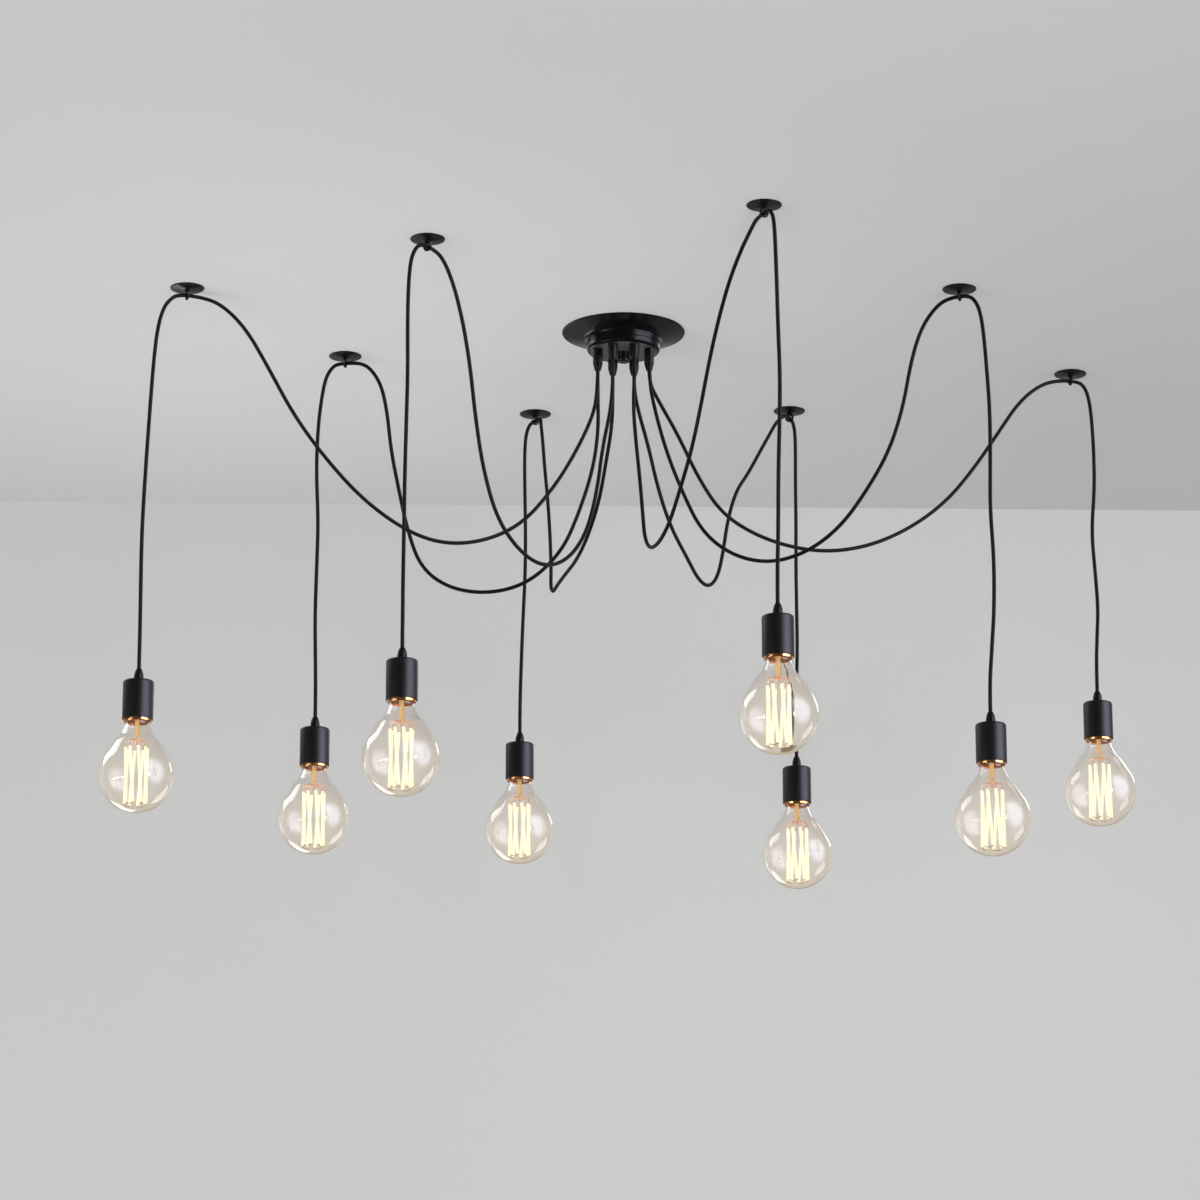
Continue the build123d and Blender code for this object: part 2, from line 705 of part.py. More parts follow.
# The same four pieces at every lamp
lamp_pieces = {
    "socket_shell": socket_shell.part,
    "lampholder": lampholder.part,
    "bulb_glass": bulb_glass.part,
    "bulb_base": bulb_base.part,
}
for index, place in enumerate(lamp_places):
    print("lamp", index + 1, "mouth at", [round(value, 1) for value in place])
    for name, piece in lamp_pieces.items():
        with BuildPart() as placed:
            with Locations(place):
                add(piece)
        write_piece(placed.part, f"{name}_{index + 1}")
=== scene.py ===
import math

import bmesh
import bpy
from mathutils import Matrix, Vector


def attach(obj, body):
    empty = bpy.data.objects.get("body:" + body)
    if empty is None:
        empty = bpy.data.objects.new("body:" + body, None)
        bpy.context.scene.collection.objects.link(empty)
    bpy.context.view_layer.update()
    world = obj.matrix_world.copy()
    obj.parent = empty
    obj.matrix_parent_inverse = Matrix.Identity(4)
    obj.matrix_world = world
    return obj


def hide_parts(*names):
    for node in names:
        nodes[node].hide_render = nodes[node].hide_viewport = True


# Eight-lamp hanging light, in metres, with the origin on the ceiling at the canopy's middle
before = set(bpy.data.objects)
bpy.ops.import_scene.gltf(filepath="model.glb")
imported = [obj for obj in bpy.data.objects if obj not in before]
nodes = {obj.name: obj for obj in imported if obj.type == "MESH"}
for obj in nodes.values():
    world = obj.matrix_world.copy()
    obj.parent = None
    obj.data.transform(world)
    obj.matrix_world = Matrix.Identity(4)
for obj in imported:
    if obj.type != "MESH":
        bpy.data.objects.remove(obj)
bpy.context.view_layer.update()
scene = bpy.context.scene
collection = scene.collection
scene.view_settings.view_transform = "Standard"

# Sizes that several pieces share. A lamp's heights are measured from its socket's open mouth.
cord_radius = 0.0025
shell_radius, shell_height, shell_roof = 0.0195, 0.050, 0.0485
grip_foot, grip_top = 0.044, 0.066
holder_roof = 0.0342
thread_pitch, cap_radius, cap_bore = 0.00363, 0.0132, 0.0118
globe_radius, globe_level, glass_wall = 0.0475, -0.0715, 0.0009
globe_bottom = globe_level - globe_radius
rod_radius = 0.0013
nearly_zero, crease_angle = 1e-7, math.radians(35)

# Patterns that several finishes share
cloud_scale, cloud_detail, fine_detail, grain_depth = 45.0, 3.0, 4.0, 0.0002
canopy_grain = 1400.0
black_paint = (0.003, 0.003, 0.0032), (0.006, 0.006, 0.0062)
# Colours of a painted glow that the envelope glass emits, dim at the neck and warm and bright towards the
# bottom
painted_glow_colours = [
    (0.15, (0.3, 0.2, 0.14)), (0.5, (1.0, 0.84, 0.52)), (0.8, (1.0, 0.86, 0.50)), (1.0, (1.5, 1.2, 0.40)),
]


# Node helpers


class Nodes:
    """A node tree and short ways to fill it."""

    def __init__(self, tree):
        self.tree = tree
        tree.nodes.clear()

    def add(self, kind, inputs=None, output=0, **values):
        """Adds a node and gives one of its outputs. A value is a setting or an input, with _ for a space."""
        node = self.tree.nodes.new(kind)
        for key, value in values.items():
            if hasattr(node, key):
                setattr(node, key, value)
            else:
                node.inputs[key.replace("_", " ")].default_value = value
        for key, source in (inputs or {}).items():
            if isinstance(source, bpy.types.NodeSocket):
                self.tree.links.new(source, node.inputs[key])
            else:
                node.inputs[key].default_value = source
        return node.outputs[output]

    def finish(self, kind, shader):
        """Adds the tree's output node and links a shader to it."""
        self.tree.links.new(shader, self.tree.nodes.new(kind).inputs["Surface"])

    def maths(self, operation, first, second, **values):
        return self.add("ShaderNodeMath", {0: first, 1: second}, operation=operation, **values)

    def measure(self, operation, first, second=(0, 0, 0)):
        """A number worked out from one or two vectors."""
        return self.add("ShaderNodeVectorMath", {0: first, 1: second}, "Value", operation=operation)

    def parts(self, vector):
        """The outputs X, Y and Z of a vector."""
        return self.add("ShaderNodeSeparateXYZ", {"Vector": vector}).node.outputs

    def span(self, source, start, end, first=0, last=1, smooth=False):
        """A value that goes from first to last while the source goes from start to end."""
        ends = {"From Min": start, "From Max": end, "To Min": first, "To Max": last}
        way = "SMOOTHSTEP" if smooth else "LINEAR"
        return self.add("ShaderNodeMapRange", {"Value": source, **ends}, interpolation_type=way)

    def ramp(self, source, stops):
        """The colour that a value picks out of (place, colour) stops."""
        colour = self.add("ShaderNodeValToRGB", {0: source})
        elements = colour.node.color_ramp.elements
        while len(elements) < len(stops):
            elements.new(0.5)
        for element, (place, stop) in zip(elements, stops):
            element.position = place
            element.color = (*stop, 1)
        return colour


class Surface(Nodes):
    """A new material, whose patterns lie in the object's own coordinates."""

    def __init__(self, name):
        self.material = bpy.data.materials.new(name)
        self.material.use_nodes = True
        super().__init__(self.material.node_tree)
        self.place = self.add("ShaderNodeTexCoord", output="Object")

    def noise(self, scale, detail):
        return self.add("ShaderNodeTexNoise", {"Vector": self.place}, Scale=scale, Detail=detail)

    def blend(self, source, first, last, start=0.3, end=0.7):
        """Goes from one colour to another over the middle of a pattern."""
        return self.ramp(source, [(start, first), (end, last)])

    def relief(self, height, strength, depth=grain_depth):
        return self.add("ShaderNodeBump", {"Height": height}, Strength=strength, Distance=depth)

    def close(self, shader):
        self.finish("ShaderNodeOutputMaterial", shader)
        return self.material

    def body(self, inputs, **values):
        """The material as one principled shader."""
        return self.close(self.add("ShaderNodeBsdfPrincipled", inputs, **values))


def grey(value):
    return (value, value, value)


# Finishes


def coated(name, dark, light, rough, grain, bump=0.03, metallic=0.0, shine=0.5):
    """Paint, plastic or metal with slow cloudy colours, and a fine grain in its gloss and its relief."""
    s = Surface(name)
    fine = s.noise(grain, fine_detail)
    colour = s.blend(s.noise(cloud_scale, cloud_detail), dark, light)
    gloss = s.blend(fine, grey(rough[0]), grey(rough[1]))
    inputs = {"Base Color": colour, "Roughness": gloss, "Normal": s.relief(fine, bump)}
    return s.body(inputs, Metallic=metallic, Specular_IOR_Level=shine)


def canopy_finish(name, plate_level, plate_reach):
    """Gloss black paint, with the bottom plate between the cord glands painted a lighter grey, a painted
    reflection of the bright room.
    """
    s = Surface(name)
    flat = s.add("ShaderNodeVectorMath", {0: s.place, 1: (1, 1, 0)}, operation="MULTIPLY")
    low = s.maths("LESS_THAN", s.parts(s.place)["Z"], plate_level)
    near = s.maths("LESS_THAN", s.measure("LENGTH", flat), plate_reach)
    plate = s.maths("MULTIPLY", low, near)
    cloud, fine = s.noise(cloud_scale, cloud_detail), s.noise(canopy_grain, fine_detail)
    black = s.blend(cloud, *black_paint)
    # Painted reflection: the plate's lighter grey stands in for the bright room that the plate mirrors
    plate_painted_reflection = s.blend(cloud, grey(0.075), grey(0.10))
    colour = s.add("ShaderNodeMix", {0: plate, 6: black, 7: plate_painted_reflection}, 2, data_type="RGBA")
    gloss = s.blend(fine, grey(0.17), grey(0.24))
    inputs = {"Base Color": colour, "Roughness": gloss, "Normal": s.relief(fine, strength=0.03)}
    return s.body(inputs, Specular_IOR_Level=0.22)


def braid(name):
    """Black textile cord: a fine crossed weave over a dark sheath."""
    s = Surface(name)
    mirrored = s.add("ShaderNodeMapping", {"Vector": s.place}, Scale=(-1, 1, 1))
    wave = {"Scale": 420.0, "Distortion": 2.5, "bands_direction": "DIAGONAL"}
    right = s.add("ShaderNodeTexWave", {"Vector": s.place}, "Fac", **wave)
    left = s.add("ShaderNodeTexWave", {"Vector": mirrored}, "Fac", **wave)
    weave = s.maths("MULTIPLY", right, left)
    cloud = s.noise(scale=60.0, detail=4.0)
    colour = s.blend(cloud, (0.0022, 0.0022, 0.0024), (0.006, 0.006, 0.0065), end=0.75)
    gloss = s.blend(weave, grey(0.62), grey(0.42), start=0.0, end=1.0)
    inputs = {"Base Color": colour, "Roughness": gloss, "Normal": s.relief(weave, strength=0.35)}
    return s.body(inputs, Specular_IOR_Level=0.25)


def clear_glass(name, tint_a, tint_b, rough=0.0, clarity=1.0, painted_glow=0.0):
    """Glass with a slow tint, partly painted light, and a faint ripple. Its emission is a painted warm glow,
    brighter towards the bottom, that stands in for the light that the lit strips leave in the glass.
    """
    s = Surface(name)
    colour = s.blend(s.noise(scale=22.0, detail=2.0), tint_a, tint_b, start=0.35, end=0.65)
    ripple = s.relief(s.noise(scale=60.0, detail=1.0), strength=0.05, depth=2 * grain_depth)
    depth = s.span(s.parts(s.place)["Z"], 0, globe_bottom)
    inputs = {"Base Color": colour, "Normal": ripple, "Emission Color": s.ramp(depth, painted_glow_colours)}
    return s.body(inputs, Roughness=rough, IOR=1.46, Transmission_Weight=clarity, Emission_Strength=painted_glow)


def glowing(name, core, edge, strength):
    """A lit strip: a hot core with slightly cooler bands along it."""
    s = Surface(name)
    colour = s.blend(s.noise(scale=160.0, detail=2.0), edge, core, start=0.35, end=0.6)
    unlit = (0.25, 0.20, 0.08, 1)
    return s.body({"Emission Color": colour}, Base_Color=unlit, Emission_Strength=strength, Roughness=0.5)


canopy_black = canopy_finish("canopy_paint", plate_level=-0.0274, plate_reach=0.0445)
# Each coated finish has a dark and a light colour, a range of roughness, and its grain's scale and relief
cap_nut_black = coated("cap_nut_paint", *black_paint, rough=(0.14, 0.22), grain=1500, bump=0.02)
gland_black = coated("gland_nylon", (0.003, 0.003, 0.0033), (0.006, 0.006, 0.0065), (0.34, 0.46), 1800, 0.05,
                     shine=0.25)
nut_black = coated("nut_nylon", grey(0.012), grey(0.02), (0.42, 0.55), 1600, 0.05)
hook_black = coated("hook_paint", *black_paint, rough=(0.2, 0.3), grain=1500, shine=0.3)
socket_black = coated("socket_paint", (0.0028, 0.0028, 0.0034), (0.0048, 0.0048, 0.006), (0.36, 0.46), 2200,
                      0.04)
insert_black = coated("insert_phenolic", (0.012, 0.011, 0.011), (0.022, 0.02, 0.02), (0.4, 0.55), 1800, 0.05)
zinc = coated("zinc_steel", (0.50, 0.50, 0.48), (0.66, 0.66, 0.64), (0.28, 0.45), 700, 0.04, metallic=1.0)
cap_metal = coated("cap_nickel", (0.62, 0.58, 0.50), (0.78, 0.74, 0.66), (0.2, 0.34), 900, metallic=1.0)
brass = coated("screw_brass", (0.62, 0.45, 0.18), (0.78, 0.60, 0.28), (0.25, 0.4), 800, 0.04, metallic=1.0)
copper = coated("ring_copper", (0.86, 0.36, 0.13), (0.98, 0.54, 0.25), (0.12, 0.24), 900, 0.02, metallic=1.0)
flare_gold = coated("flare_gold", (0.80, 0.42, 0.16), (0.95, 0.62, 0.32), (0.3, 0.5), 500, 0.05, metallic=0.6)
block_ivory = coated("block_nylon", (0.62, 0.60, 0.53), (0.74, 0.72, 0.65), (0.45, 0.6), 1500, 0.05)
wire_brown = coated("wire_brown_sheath", (0.12, 0.05, 0.02), (0.18, 0.08, 0.035), (0.35, 0.5), 1200, 0.04)
wire_blue = coated("wire_blue_sheath", (0.02, 0.09, 0.36), (0.04, 0.14, 0.48), (0.35, 0.5), 1200, 0.04)
cord_black = braid("cord_braid")
# The envelope's slow rose tint is a painted reflection of the copper parts, and its faint emission is a
# painted glow
envelope_glass = clear_glass("envelope_glass", (0.985, 0.935, 0.90), (1.0, 0.99, 0.97), painted_glow=0.03)
# The stem's amber tint is partly the glass's own colour and partly a painted glow of the strips' light
# shining through it
stem_glass = clear_glass("stem_glass", (0.80, 0.50, 0.16), (0.93, 0.70, 0.36), rough=0.12, clarity=0.45)
vitrite_black = coated("insulator_vitrite", (0.006, 0.006, 0.012), (0.015, 0.014, 0.024), (0.12, 0.2), 600)
strip_glow = glowing("strip_lit", (1.0, 0.99, 0.84), (1.0, 0.95, 0.66), 0.97)
strip_end = coated("strip_end", (0.20, 0.09, 0.03), (0.34, 0.18, 0.07), (0.3, 0.45), 1500)
support_wire = coated("support_wire", (0.90, 0.50, 0.34), (0.98, 0.70, 0.52), (0.22, 0.35), 1500,
                      metallic=0.4)

# Camera, which stands before the lamps and below them, and looks up
camera_place, camera_rise, camera_lens, camera_sensor = (-0.0312, -5.663, -1.9502), 15.6, 135, 36
camera_data = bpy.data.cameras.new("camera")
camera_data.lens = camera_lens
camera_data.sensor_width = camera_sensor
camera = bpy.data.objects.new("camera", camera_data)
camera.location = camera_place
camera.rotation_euler = (math.radians(90 + camera_rise), 0, 0)
collection.objects.link(camera)
scene.camera = camera

# Cords. Each sag is laid out as level reach from its gland towards its hook, and depth under the
# ceiling. Each drop is laid out as level reach away from its hook, and depth under the ceiling.
hook_places = [
    (-0.564, -0.176), (-0.375, 0.098), (-0.247, -0.359), (-0.122, 0.351),
    (0.170, -0.479), (0.234, 0.337), (0.433, -0.172), (0.611, 0.174),
]
gland_angles = [202.5, 157.5, 247.5, 112.5, 292.5, 67.5, 337.5, 22.5]
gland_ring_radius, gland_tip, eye_level = 0.037, -0.0486, -0.0104
hook_leads = [0.018, 0.018, 0.018, 0.014, 0.018, 0.018, 0.018, 0.018]
sag_routes = [
    [(0, 0.080), (0.005, 0.118), (0.029, 0.172), (0.061, 0.227), (0.103, 0.279), (0.155, 0.307),
     (0.208, 0.315), (0.258, 0.302), (0.315, 0.266), (0.366, 0.215), (0.410, 0.159), (0.447, 0.094),
     (0.476, 0.047), (0.508, 0.018)],
    [(0, 0.084), (-0.001, 0.130), (0.006, 0.184), (0.025, 0.243), (0.048, 0.295), (0.092, 0.335),
     (0.145, 0.347), (0.200, 0.337), (0.241, 0.306), (0.260, 0.254), (0.273, 0.196), (0.285, 0.138),
     (0.291, 0.083), (0.300, 0.044), (0.316, 0.019)],
    [(0, 0.078), (0.005, 0.120), (0.024, 0.178), (0.035, 0.237), (0.059, 0.303), (0.101, 0.349),
     (0.153, 0.370), (0.205, 0.361), (0.252, 0.329), (0.281, 0.272), (0.298, 0.208), (0.309, 0.147),
     (0.324, 0.093), (0.343, 0.049), (0.363, 0.021)],
    [(0, 0.080), (0.003, 0.118), (0.027, 0.160), (0.055, 0.206), (0.100, 0.242), (0.151, 0.264),
     (0.203, 0.271), (0.236, 0.277), (0.254, 0.282), (0.263, 0.271), (0.261, 0.244), (0.267, 0.193),
     (0.277, 0.143), (0.291, 0.094), (0.298, 0.062), (0.304, 0.038), (0.310, 0.020)],
    [(0, 0.075), (-0.005, 0.112), (0.004, 0.160), (0.020, 0.220), (0.031, 0.272), (0.038, 0.306),
     (0.058, 0.326), (0.092, 0.327), (0.130, 0.312), (0.170, 0.278), (0.213, 0.238), (0.247, 0.190),
     (0.277, 0.141), (0.313, 0.094), (0.352, 0.056), (0.392, 0.031), (0.426, 0.016)],
    [(0, 0.068), (0.010, 0.097), (0.033, 0.140), (0.053, 0.190), (0.082, 0.238), (0.122, 0.274),
     (0.148, 0.298), (0.172, 0.303), (0.193, 0.285), (0.206, 0.250), (0.219, 0.196), (0.240, 0.150),
     (0.268, 0.120), (0.300, 0.078), (0.325, 0.046), (0.341, 0.025)],
    [(0, 0.076), (0.008, 0.116), (0.023, 0.172), (0.045, 0.230), (0.072, 0.288), (0.114, 0.325),
     (0.165, 0.341), (0.216, 0.332), (0.262, 0.303), (0.300, 0.256), (0.331, 0.206), (0.350, 0.150),
     (0.361, 0.094), (0.374, 0.052), (0.391, 0.026)],
    [(0, 0.066), (0.014, 0.092), (0.040, 0.136), (0.066, 0.190), (0.098, 0.238), (0.145, 0.265),
     (0.200, 0.279), (0.254, 0.280), (0.312, 0.265), (0.368, 0.235), (0.418, 0.194), (0.459, 0.142),
     (0.492, 0.093), (0.522, 0.048), (0.552, 0.021)],
]
drop_turns = [0, 0, 0, 14.6, 7.7, 16.0, 0, 0]
drop_routes = [
    [(0.011, 0.0104), (0.021, 0.0165), (0.0305, 0.030), (0.037, 0.056), (0.041, 0.098), (0.044, 0.160),
     (0.047, 0.230), (0.0495, 0.300), (0.0503, 0.350), (0.0496, 0.415), (0.049, 0.470), (0.049, 0.512)],
    [(0.011, 0.0104), (0.0195, 0.016), (0.0273, 0.030), (0.0325, 0.058), (0.037, 0.102), (0.038, 0.165),
     (0.034, 0.228), (0.035, 0.292), (0.0363, 0.360), (0.0345, 0.425), (0.0335, 0.468), (0.0335, 0.500)],
    [(0.011, 0.0104), (0.0225, 0.017), (0.033, 0.035), (0.0375, 0.067), (0.0385, 0.122), (0.0368, 0.185),
     (0.0385, 0.250), (0.0403, 0.318), (0.0405, 0.385), (0.0412, 0.450), (0.041, 0.500), (0.041, 0.5385)],
    [(0.011, 0.0104), (0.020, 0.0165), (0.0255, 0.030), (0.0275, 0.056), (0.0265, 0.106), (0.024, 0.165),
     (0.0245, 0.230), (0.030, 0.295), (0.034, 0.360), (0.0365, 0.412), (0.0365, 0.453)],
    [(0.011, 0.0104), (0.020, 0.017), (0.0245, 0.031), (0.027, 0.060), (0.0295, 0.112), (0.0315, 0.170),
     (0.035, 0.230), (0.0325, 0.290), (0.028, 0.355), (0.0265, 0.420), (0.023, 0.474), (0.023, 0.5124)],
    [(0.011, 0.0104), (0.021, 0.0165), (0.026, 0.0295), (0.026, 0.058), (0.0245, 0.106), (0.025, 0.160),
     (0.022, 0.220), (0.023, 0.280), (0.024, 0.338), (0.018, 0.395), (0.014, 0.448), (0.014, 0.4946)],
    [(0.011, 0.0104), (0.020, 0.017), (0.027, 0.033), (0.031, 0.062), (0.034, 0.110), (0.037, 0.172),
     (0.036, 0.235), (0.034, 0.300), (0.0375, 0.362), (0.0365, 0.430), (0.0315, 0.490), (0.028, 0.530),
     (0.028, 0.5657)],
    [(0.011, 0.0104), (0.0195, 0.016), (0.0255, 0.030), (0.029, 0.056), (0.031, 0.104), (0.0305, 0.162),
     (0.024, 0.222), (0.028, 0.284), (0.0303, 0.330), (0.0276, 0.369), (0.0253, 0.407), (0.0253, 0.4457)],
]


def level(angle):
    return Vector((math.cos(angle), math.sin(angle), 0))


def up(height):
    return Vector((0, 0, height))


def hang_cord(name, body, node, points):
    """A round cord along one smooth NURBS line that has the route's points as its control points."""
    data = bpy.data.curves.new(name, "CURVE")
    data.dimensions = "3D"
    data.bevel_depth = cord_radius
    data.bevel_resolution = 5
    data.resolution_u = 10
    data.use_fill_caps = True
    spline = data.splines.new("NURBS")
    spline.points.add(len(points) - 1)
    for control, point in zip(spline.points, points):
        control.co = (*point, 1)
    spline.order_u = 3
    spline.use_endpoint_u = True
    spline.use_smooth = True
    cord = bpy.data.objects.new(name, data)
    data.materials.append(cord_black)
    collection.objects.link(cord)
    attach(cord, body)
    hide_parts(node)


lamp_places = []
for index, hook_place in enumerate(hook_places):
    number = index + 1
    gland = level(math.radians(gland_angles[index])) * gland_ring_radius
    hook = Vector((*hook_place, 0))
    sag_way = (hook - gland).normalized()
    drop_way = Matrix.Rotation(math.radians(drop_turns[index]), 3, "Z") @ sag_way
    eye = hook + up(eye_level)
    sag = [gland + up(gland_tip)]
    sag += [gland + sag_way * reach - up(depth) for reach, depth in sag_routes[index]]
    sag += [eye - drop_way * hook_leads[index], eye]
    drop = [eye] + [hook + drop_way * reach - up(depth) for reach, depth in drop_routes[index]]
    lamp_places.append(drop[-1] - up(grip_top))
    hang_cord(f"sagging_cord_{number}", "ceiling_part", f"swag_cord_{number}", sag)
    hang_cord(f"hanging_cord_{number}", f"pendant_{number}", f"drop_cord_{number}", drop)


# Mesh helpers. A piece is a list of verts and a list of faces. An outline is a list of (radius, height)
# points, and corners have a bend as well.


def ring_points(radius, height, sides, start=0):
    turns = [start + 2 * math.pi * step / sides for step in range(sides)]
    return [(radius * math.cos(turn), radius * math.sin(turn), height) for turn in turns]


def bands(rows, sides, closed=True):
    """Faces between rows of verts that each go once round. Closed, the last row meets the first."""
    faces = []
    for row in range(rows if closed else rows - 1):
        a, b = row * sides, (row + 1) % rows * sides
        for step in range(sides):
            after = (step + 1) % sides
            faces.append([a + step, a + after, b + after, b + step])
    return faces


def lathe(outline, sides, closed=True):
    """An outline turned round Z. Points on the axis make poles."""
    verts, faces, rings = [], [], []
    for radius, height in outline:
        start = len(verts)
        if radius < nearly_zero:
            rings.append([start] * sides)
            verts.append((0, 0, height))
        else:
            rings.append(list(range(start, start + sides)))
            verts += ring_points(radius, height, sides)
    pairs = list(zip(rings, rings[1:]))
    if closed:
        pairs.append((rings[-1], rings[0]))
    for lower, upper in pairs:
        for step in range(sides):
            after = (step + 1) % sides
            face = list(dict.fromkeys([lower[step], lower[after], upper[after], upper[step]]))
            if len(face) > 2:
                faces.append(face)
    return verts, faces


def rounded(corners, steps):
    """Outline points for (radius, height, bend) corners. A bend, where given, is an arc of `steps` parts,
    which takes up no more than nearly half of the side before it and of the side after it."""
    result, side_share = [], 0.49
    for index, (radius, height, *bend) in enumerate(corners):
        here = Vector((radius, height))
        if not bend:
            result.append(tuple(here))
            continue
        before, after = Vector(corners[index - 1][:2]), Vector(corners[index + 1][:2])
        into, out = (here - before).normalized(), (after - here).normalized()
        most = side_share * min((here - before).length, (after - here).length)
        cut = min(bend[0] * math.tan(into.angle(out) / 2), most)
        first, last = here - into * cut, here + out * cut
        for step in range(steps + 1):
            t = step / steps
            result.append(tuple(first * (1 - t) ** 2 + here * (2 * t * (1 - t)) + last * t**2))
    return result


def turned(corners, steps, sides, closed=True):
    """A turned piece with rounded corners. A closed outline may name its first point again at its end."""
    outline = rounded(corners, steps)
    if closed and corners[0] == corners[-1]:
        outline.pop()
    return lathe(outline, sides, closed)


def tube(path, radius, sides=8):
    """A round tube along a path of points, with one radius or a list with one for each point."""
    path = [Vector(point) for point in path]
    sizes = radius if isinstance(radius, list) else [radius] * len(path)
    verts, normal = [], None
    for index, (point, size) in enumerate(zip(path, sizes)):
        before, after = path[max(index - 1, 0)], path[min(index + 1, len(path) - 1)]
        way = (after - before).normalized()
        if normal is None:
            normal = way.orthogonal().normalized()
        normal = (normal - way * normal.dot(way)).normalized()
        side = way.cross(normal)
        verts += [point + (normal * x + side * y) * size for x, y, z in ring_points(1, 0, sides)]
    faces = bands(len(path), sides, closed=False)
    faces.append(list(reversed(range(sides))))
    faces.append([(len(path) - 1) * sides + step for step in range(sides)])
    return verts, faces


def thread_row(crest, depth, height, sides):
    """One row of points round a threaded wall, whose radius is `crest` and at the root `depth` less."""
    row = []
    for step, (x, y, z) in enumerate(ring_points(1, height, sides)):
        wave = 0.5 - 0.5 * math.cos(2 * math.pi * (height / thread_pitch - step / sides))
        radius = crest - depth * wave
        row.append((radius * x, radius * y, z))
    return row


# The socket: a black shell, and a grip that a nut holds under the shell's roof


def shell_piece():
    """The black shell, open at its mouth, with a hole for the grip in its roof."""
    shell_bore, seam, hole = 0.018, 0.0187, 0.0041
    return turned(
        [(seam, 0), (shell_radius, 0, 0.0004), (shell_radius, shell_height, 0.003),
         (hole, shell_height, 0.0003), (hole, shell_roof, 0.0002), (shell_bore, shell_roof, 0.002),
         (shell_bore, 0, 0.0004), (seam, 0)],
        steps=6, sides=96,
    )


def grip_piece():
    """The cord grip: a tapered nose with shallow flutes that fade out at both ends."""
    shank_radius, grip_radius, crown_radius, nose_radius = 0.004, 0.006, 0.005, 0.0031
    collar_top, crown_level = 0.0575, 0.062
    verts, faces = turned(
        [(0, grip_foot), (shank_radius, grip_foot, 0.0003), (shank_radius, shell_height, 0.0001),
         (grip_radius, shell_height, 0.0006), (grip_radius, collar_top, 0.002),
         (crown_radius, crown_level, 0.005), (nose_radius, grip_top, 0.0006), (0, grip_top)],
        steps=6, sides=96, closed=False,
    )
    flute_count, flute_share = 12, 0.045
    flute_bottom, flute_top, bottom_fade, top_fade = 0.0515, 0.0640, 0.002, 0.004
    fluted = []
    for x, y, z in verts:
        strength = max(0, min(1, (z - flute_bottom) / bottom_fade, (flute_top - z) / top_fade))
        wave = 0.5 + 0.5 * math.cos(flute_count * math.atan2(y, x))
        ridge = 1 - flute_share * strength * wave
        fluted.append((x * ridge, y * ridge, z))
    return fluted, faces


def nut_piece():
    """The hexagon nut on the grip, right under the shell's roof."""
    sides, corner_radius, bottom = 6, 0.00692, 0.0455
    start = math.pi / sides
    lower = ring_points(corner_radius, bottom, sides, start)
    upper = ring_points(corner_radius, shell_roof, sides, start)
    ends = [list(reversed(range(sides))), list(range(sides, 2 * sides))]
    return lower + upper, ends + bands(2, sides, closed=False)


def socket_parts():
    return [(*shell_piece(), socket_black), (*grip_piece(), gland_black), (*nut_piece(), gland_black)]


# The lampholder: a black insert, the copper ring at the mouth, a screw shell and its contact


def insert_piece():
    """The black insert, a cup with a hole for the wires in its roof."""
    bore, radius, foot, hole = 0.0143, 0.0176, 0.0042, 0.0045
    return turned(
        [(bore, foot), (radius, foot, 0.0005), (radius, grip_foot, 0.001), (hole, grip_foot, 0.0004),
         (hole, holder_roof), (bore, holder_roof)],
        steps=4, sides=72,
    )


def mouth_ring():
    """The copper ring, which swells round the socket's mouth and turns in at its lip."""
    seam, top, hole, lip_bore = 0.0160, 0.0040, 0.0135, 0.0160
    return turned(
        [(seam, top), (0.0177, top, 0.0003), (0.0178, -0.0006, 0.002), (0.0173, -0.0028, 0.001),
         (0.0167, -0.0040, 0.0005), (lip_bore, -0.0038, 0.0005), (0.0158, -0.0010, 0.001),
         (0.0157, 0.0032, 0.0006), (hole, 0.0036, 0.0001), (hole, top), (seam, top)],
        steps=6, sides=128,
    )


def screw_shell():
    """Thin metal pressed into a thread, up its inner side and down its outer side."""
    rows, sides, bottom, length = 96, 72, 0.008, 0.0258
    inner_radius, outer_radius, depth = 0.0138, 0.0141, 0.0003
    heights = [bottom + length * (row / rows) for row in range(rows + 1)]
    verts = []
    for height in heights:
        verts += thread_row(inner_radius, depth, height, sides)
    for height in reversed(heights):
        verts += thread_row(outer_radius, depth, height, sides)
    return verts, bands(2 * rows + 2, sides)


def contact_piece():
    """The round contact in the middle of the insert's roof."""
    radius, foot = 0.0035, 0.0318
    return turned(
        [(0, holder_roof), (radius, holder_roof, 0.0002), (0.0034, 0.0324, 0.0004), (0.0022, foot, 0.0006),
         (0, foot)],
        steps=4, sides=32, closed=False,
    )


def holder_parts():
    return [(*insert_piece(), insert_black), (*mouth_ring(), copper), (*screw_shell(), cap_metal),
            (*contact_piece(), cap_metal)]


# The globe: a glass envelope, and the glass stem that ends in a thin rod


def envelope_line():
    """The glass's outer outline from the neck's top to the bottom of the globe."""
    neck_top, neck_top_radius, neck_radius = 0.010, 0.0124, 0.0154
    join, globe_steps = math.radians(32.2), 60
    at_join = (globe_radius * math.cos(join), globe_radius * math.sin(join) + globe_level)
    line = rounded(
        [(neck_top_radius, neck_top), (neck_top_radius, 0.0042, 0.0016), (neck_radius, 0.0010, 0.0016),
         (neck_radius, -0.007, 0.012), (0.0221, -0.0210, 0.016), (0.0298, -0.0296, 0.03), at_join],
        steps=8,
    )
    for step in range(1, globe_steps + 1):
        angle = join - (join + math.pi / 2) * step / globe_steps
        line.append((globe_radius * math.cos(angle), globe_radius * math.sin(angle) + globe_level))
    line[-1] = (0, globe_bottom)
    return line


